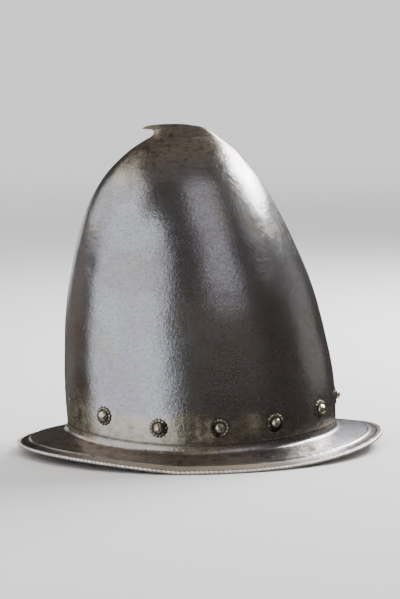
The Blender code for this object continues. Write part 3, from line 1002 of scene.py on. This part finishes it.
# %% [markdown]
# The fastenings are a pale copper alloy under old tarnish. The raised lobes and the domes are rubbed bright,
# and shade is painted nearly black into the hollow between them. Height above the wall drives that painted
# shade, stored on the points as before.

# %% Aged brass
RUBBED_BRASS = (0.88, 0.81, 0.64, 1.0)
TARNISHED_BRASS = (0.42, 0.36, 0.25, 1.0)
# Colour of the shade painted into the hollows.
BRASS_SHADE = (0.030, 0.024, 0.016, 1.0)


def aged_brass():
    """Pale metal: bright where rubbed, brown with tarnish, with shade painted nearly black in the hollows,
    and small knocks.
    """
    finish = Finish("aged_brass")
    mottle = finish.noise(700.0, 3.0, 0.6)
    tarnish = finish.ramp(mottle, 0.35, 0.70)
    color = finish.mix(tarnish, RUBBED_BRASS, TARNISHED_BRASS)
    # Painted shade in the hollows, from the points.
    shade_mask = finish.attribute("painted_shade")
    color = finish.mix(shade_mask, color, BRASS_SHADE)
    finish.shade("Base Color", color)
    tarnish_rough = finish.ramp(tarnish, 0.0, 1.0, 0.14, 0.28)
    rough = finish.maths("ADD", tarnish_rough, finish.times(shade_mask, 0.35))
    finish.shade("Roughness", rough)
    finish.shade("Metallic", 0.95)
    knocks = finish.bump(finish.noise(520.0, 2.0, 0.5), 0.00018)
    finish.shade("Normal", knocks)
    return finish.material


brass = aged_brass()


def placed(grid, seat):
    """Local points turned into the seat's axes and moved to its origin."""
    origin, axes = seat
    return grid @ axes + origin


# %% Painted shade on rosettes and rivets
HOLLOW_SHADE = 1.35
HOLLOW_SHADE_FALL = 1.6
LOBE_SHADE = 0.5
WEAR_SHADE = 0.9
DOME_SHADE_HEIGHT = 1.1 * MM


def rosette_shade(lobe, wear):
    """Painted shade: darkness falls with the profile's height, and is added between the lobes and where they
    are worn down.
    """
    height, shaped = ROSETTE_PROFILE[:, 1:2], ROSETTE_PROFILE[:, 2:3]
    low = np.clip(HOLLOW_SHADE - HOLLOW_SHADE_FALL * height, 0.0, 1.0)
    upper = low + (LOBE_SHADE * (1.0 - lobe) + WEAR_SHADE * wear) * shaped
    return np.clip(np.concatenate([upper, np.ones_like(upper[:1])]), 0.0, 1.0)


def rivet_shade():
    """Full painted shade from the seat down, fading up the dome. The top pole is unshaded and the bottom one
    fully shaded.
    """
    rings = 1.0 - fade(rivet_profile()[:, 1], SEAT_HEIGHT, DOME_SHADE_HEIGHT)
    return np.append(np.repeat(rings, RIVET_COLUMNS), [0.0, 1.0])


# %% Place rosettes and rivets
for number, washer in enumerate(washers, start=1):
    seat = seats[washer]
    seat_turn = math.atan2(seat[0][1] / half_width, seat[0][0] / half_length)
    wear = rosette_wear(number)
    grid, lobe = rosette_grid(number * SPIN_STEP, wall_radius(seat_turn), wear)
    faces = grid_faces(*grid.shape[:2], True).tolist()
    mesh = smooth_mesh("rosette_%02d" % number, placed(grid, seat), faces)
    # The rosette's painted shade, stored on its points.
    set_attribute(mesh, "painted_shade", rosette_shade(lobe, wear))
    add_piece("rosette_%02d" % number, mesh, "aged_brass", [washer], brass)

    grid = placed(rivet_grid(number), seat)
    top = placed(np.array([0.0, 0.0, SEAT_HEIGHT + CLEARANCE + HEAD_HEIGHT * DOME_TOP]), seat)
    bottom = placed(np.array([0.0, 0.0, rivet_profile()[-1, 1]]), seat)
    mesh = closed_skin("domed_rivet_%02d" % number, grid, top, bottom)
    # The rivet's painted shade, stored on its points.
    set_attribute(mesh, "painted_shade", rivet_shade())
    rivet = washer.replace("washer", "rivet")
    add_piece("domed_rivet_%02d" % number, mesh, "aged_brass", [rivet], brass)
print("rosettes and rivets:", len(washers))

# %% [markdown]
# The lost rivet leaves its hole open. It is the mirror image of the rivet beside the back on the other
# side. A cylinder cuts it with an exact Boolean, and the result is applied so that the piece stays one
# plain mesh.

# %% Bare hole
HOLE_RADIUS = 2.0 * MM
HOLE_SIDES = 24
CUTTER_DEPTH = 5.0 * MM


def cut_hole(piece, seat, radius):
    """Cuts a round hole through the wall along the seat's outward axis."""
    circle = turned(radius, 0.0, turns(HOLE_SIDES))
    deep = np.array([0.0, 0.0, CUTTER_DEPTH])
    rings = placed(np.stack([circle + deep, circle - deep]), seat)
    cutter_mesh = closed_skin("hole_cutter", rings, placed(deep, seat), placed(-deep, seat))
    cutter_mesh.materials.append(steel)
    cutter = add_object("hole_cutter", cutter_mesh)
    hole = piece.modifiers.new("hole", "BOOLEAN")
    hole.operation = "DIFFERENCE"
    hole.solver = "EXACT"
    hole.object = cutter
    cut = bpy.data.meshes.new_from_object(piece.evaluated_get(bpy.context.evaluated_depsgraph_get()))
    piece.modifiers.clear()
    piece.data = cut
    bpy.data.objects.remove(cutter)


across = np.array([1.0, -1.0, 1.0])
back_seat = min(seats.values(), key=lambda seat: seat[0][0])
hole_up, hole_out = back_seat[1][1:] * across
hole_seat = (back_seat[0] * across, np.array([np.cross(hole_up, hole_out), hole_up, hole_out]))
cut_hole(skull, hole_seat, HOLE_RADIUS)
print("skull faces after the hole:", len(skull.data.polygons))

# %% [markdown]
# The helmet stands on a pale floor that curves up into a wall far behind, as paper does in a photographer's
# studio. Polished steel would mirror that paper and lose its depth, so it is hidden from reflections, which
# show a dim room and the lights alone. It casts no shadow either, and only catches the helmet's.

# %% Pale floor
FLOOR_RADIUS = 3.6
WALL_CURVE = 1.2
WALL_TOP = 4.2
FIRST_RING = 0.3
FLAT_RINGS = 7
BEND_RINGS = 16
BOWL_COLUMNS = 96
GLOW_FROM = 0.8
GLOW_TO = 4.2
GLOW = 0.55
PAPER = (0.80, 0.79, 0.77, 1.0)
PAPER_GLOW = (0.95, 0.96, 1.0, 1.0)


def pale_paper():
    """Matt pale paper that glows more away from its middle, where less of the panels' light arrives."""
    finish = Finish("pale_paper")
    distance = finish.add("VectorMath", output="Value", inputs={0: finish.place}, operation="LENGTH")
    finish.shade("Emission Strength", finish.ramp(distance, GLOW_FROM, GLOW_TO, 0.0, GLOW))
    finish.shade("Base Color", PAPER)
    finish.shade("Emission Color", PAPER_GLOW)
    finish.shade("Roughness", 0.95)
    finish.shade("Specular IOR Level", 0.0)
    return finish.material


bend = np.linspace(0.0, math.pi / 2.0, BEND_RINGS)
flat_radius = np.linspace(FIRST_RING, FLOOR_RADIUS, FLAT_RINGS + 1)[:-1]
bowl_radius = np.concatenate([flat_radius, FLOOR_RADIUS + WALL_CURVE * np.sin(bend)])
bowl_height = np.concatenate([np.zeros(FLAT_RINGS), WALL_CURVE * (1.0 - np.cos(bend))])
bowl_radius = np.append(bowl_radius, bowl_radius[-1])
bowl_height = np.append(bowl_height, WALL_TOP)
bowl = turned(bowl_radius[::-1, None], bowl_height[::-1, None], turns(BOWL_COLUMNS))
bowl_points = np.concatenate([bowl.reshape(-1, 3), [(0.0, 0.0, 0.0)]])
bowl_rings = bowl.shape[0]
innermost = (bowl_rings - 1) * BOWL_COLUMNS
bowl_column = np.arange(BOWL_COLUMNS)
centre_fan = np.stack([
    np.full(BOWL_COLUMNS, len(bowl_points) - 1),
    innermost + bowl_column,
    innermost + (bowl_column + 1) % BOWL_COLUMNS,
], axis=1)
bowl_faces = grid_faces(bowl_rings, BOWL_COLUMNS)[:, ::-1].tolist() + centre_fan.tolist()
bowl_mesh = smooth_mesh("paper_floor", bowl_points, bowl_faces)
bowl_mesh.materials.append(pale_paper())
paper_floor = add_object("paper_floor", bowl_mesh)
paper_floor.visible_glossy = False
paper_floor.visible_shadow = False
print("floor radius:", FLOOR_RADIUS, "m")

# %% [markdown]
# The light is what shows the shape, since steel mostly shows what it mirrors. A large soft panel to the
# left draws the broad pale sheen down the crown, and two smaller ones carry it round and up to the
# shoulder. Two weak ones in front make the dim middle reflection. Low ones lift the foot and the brim. The
# bright window behind the right shoulder makes the white streak and slants as that does, with a faint wing
# beside it. One on each far side lights the rims, a high one fills the top, and the overhead one lights
# the paper and stays out of the steel's reflections. Directions are bearings seen from the helmet, 0
# towards the camera and 90 to the right, with a height above the horizon.

# %% Soft lights
LIGHT_CENTRE = np.array([0.0, 0.0, 0.15])


def soft_panel(name, bearing, height, distance, width, tall, radiance, color,
               glossy=True, upright=False, slant=0.0):
    """A rectangular light that faces the helmet, or stands upright. Power is radiance times pi times area."""
    light = bpy.data.lights.new(name, "AREA")
    light.shape = "RECTANGLE"
    light.size = width
    light.size_y = tall
    light.energy = radiance * math.pi * width * tall
    light.color = color
    panel = add_object(name, light)
    course, climb, lean = np.radians([bearing, height, slant])
    level_away = np.array([math.sin(course), -math.cos(course), 0.0])
    away = math.cos(climb) * level_away + np.array([0.0, 0.0, math.sin(climb)])
    side = np.array([math.cos(course), math.sin(course), 0.0])
    facing = np.cross(side, [0.0, 0.0, 1.0]) if upright else away
    side = math.cos(lean) * side + math.sin(lean) * np.cross(facing, side)
    matrix = np.eye(4)
    matrix[:3, :3] = np.column_stack([side, np.cross(facing, side), facing])
    matrix[:3, 3] = LIGHT_CENTRE + away * distance
    panel.matrix_world = Matrix(matrix)
    panel.visible_camera = False
    panel.visible_glossy = glossy
    return panel


CLEAR = (0.84, 0.90, 1.0)
COOL = (0.93, 0.96, 1.0)
NEUTRAL = (1.0, 0.98, 0.96)
VIOLET = (0.89, 0.89, 1.0)
BLUE = (0.70, 0.80, 1.0)
WARM = (1.0, 0.88, 0.80)
# Columns: name, bearing and height in degrees, distance, width and height of the panel in metres, radiance,
# colour, and what is special about the panel.
PANELS = (
    ("broad_left", -57.5, 10.0, 1.32, 1.92, 1.96, 1.50, CLEAR, {"upright": True}),
    ("high_left", -116.0, 29.0, 1.5, 0.95, 0.80, 1.2, COOL, {}),
    ("top_left", -88.0, 50.0, 1.5, 1.20, 0.52, 1.1, COOL, {}),
    ("weak_front", 29.0, 43.0, 1.4, 0.64, 1.10, 0.58, VIOLET, {}),
    ("front_fade", 26.0, 19.0, 1.4, 0.66, 0.30, 0.22, VIOLET, {}),
    ("low_front", 20.0, 4.0, 1.5, 1.70, 0.60, 0.085, WARM, {}),
    ("low_right", 108.0, 3.0, 1.5, 1.00, 0.62, 0.22, NEUTRAL, {}),
    ("low_left", -124.0, 0.0, 1.5, 0.86, 0.56, 0.17, WARM, {}),
    ("window_right", 129.0, 36.5, 1.4, 1.02, 0.56, 28.0, COOL, {"slant": -20.0}),
    ("window_wing", 79.0, 34.0, 1.4, 0.36, 0.42, 0.50, COOL, {}),
    ("far_right", 164.0, 30.0, 1.6, 0.74, 1.30, 1.05, BLUE, {}),
    ("rim_left", -157.0, 1.0, 1.5, 0.34, 0.32, 1.4, COOL, {}),
    ("high_fill", -20.0, 84.0, 1.6, 1.20, 1.00, 0.11, WARM, {}),
    ("overhead", 0.0, 90.0, 2.2, 2.2, 2.2, 2.2, NEUTRAL, {"glossy": False}),
)
panels = {name: soft_panel(name, *row, **special) for name, *row, special in PANELS}

# The broad panel reaches below the floor and would draw a hard line on the paper, so it doesn't light it.
left_unlit = bpy.data.collections.new("left_unlit")
left_unlit.objects.link(paper_floor)
left_unlit.collection_objects[0].light_linking.link_state = "EXCLUDE"
panels["broad_left"].light_linking.receiver_collection = left_unlit
print("lights:", len(panels))

# %% A dim room all round
ROOM_COLOR = (1.0, 0.82, 0.70, 1.0)
ROOM_STRENGTH = 0.050
world = bpy.data.worlds.new("dim_room")
world.use_nodes = True
background = world.node_tree.nodes["Background"]
background.inputs["Color"].default_value = ROOM_COLOR
background.inputs["Strength"].default_value = ROOM_STRENGTH
bpy.context.scene.world = world
print("room strength:", ROOM_STRENGTH)

# %% [markdown]
# The camera stands two metres away, a little to the left of square and a hand's breadth above the helmet's
# top. It is rolled by one degree, as the photograph was. A long lens keeps the crown's proportions.

# %% Camera
CAMERA_DISTANCE = 2.05
CAMERA_BEARING = math.radians(-2.5)
CAMERA_HEIGHT = 0.3835
CAMERA_ROLL = math.radians(-1.0)
AIM_HEIGHT = 0.130
LENS = 137.7
SHIFT_RIGHT = 0.0034
SHIFT_DOWN = 0.0092

position = np.array([
    math.sin(CAMERA_BEARING) * CAMERA_DISTANCE,
    -math.cos(CAMERA_BEARING) * CAMERA_DISTANCE,
    CAMERA_HEIGHT,
])
look = unit(np.array([0.0, 0.0, AIM_HEIGHT]) - position)
level_right = unit(np.cross(look, [0.0, 0.0, 1.0]))
level_up = np.cross(level_right, look)
camera_right = math.cos(CAMERA_ROLL) * level_right + math.sin(CAMERA_ROLL) * level_up
camera_up = -math.sin(CAMERA_ROLL) * level_right + math.cos(CAMERA_ROLL) * level_up
camera_matrix = np.eye(4)
camera_matrix[:3, :3] = np.column_stack([camera_right, camera_up, -look])
camera_matrix[:3, 3] = position

lens = bpy.data.cameras.new("camera")
lens.lens = LENS
lens.shift_x = SHIFT_RIGHT
lens.shift_y = SHIFT_DOWN
camera = add_object("camera", lens)
camera.matrix_world = Matrix(camera_matrix)
bpy.context.scene.camera = camera
print("camera at", np.round(position, 3))
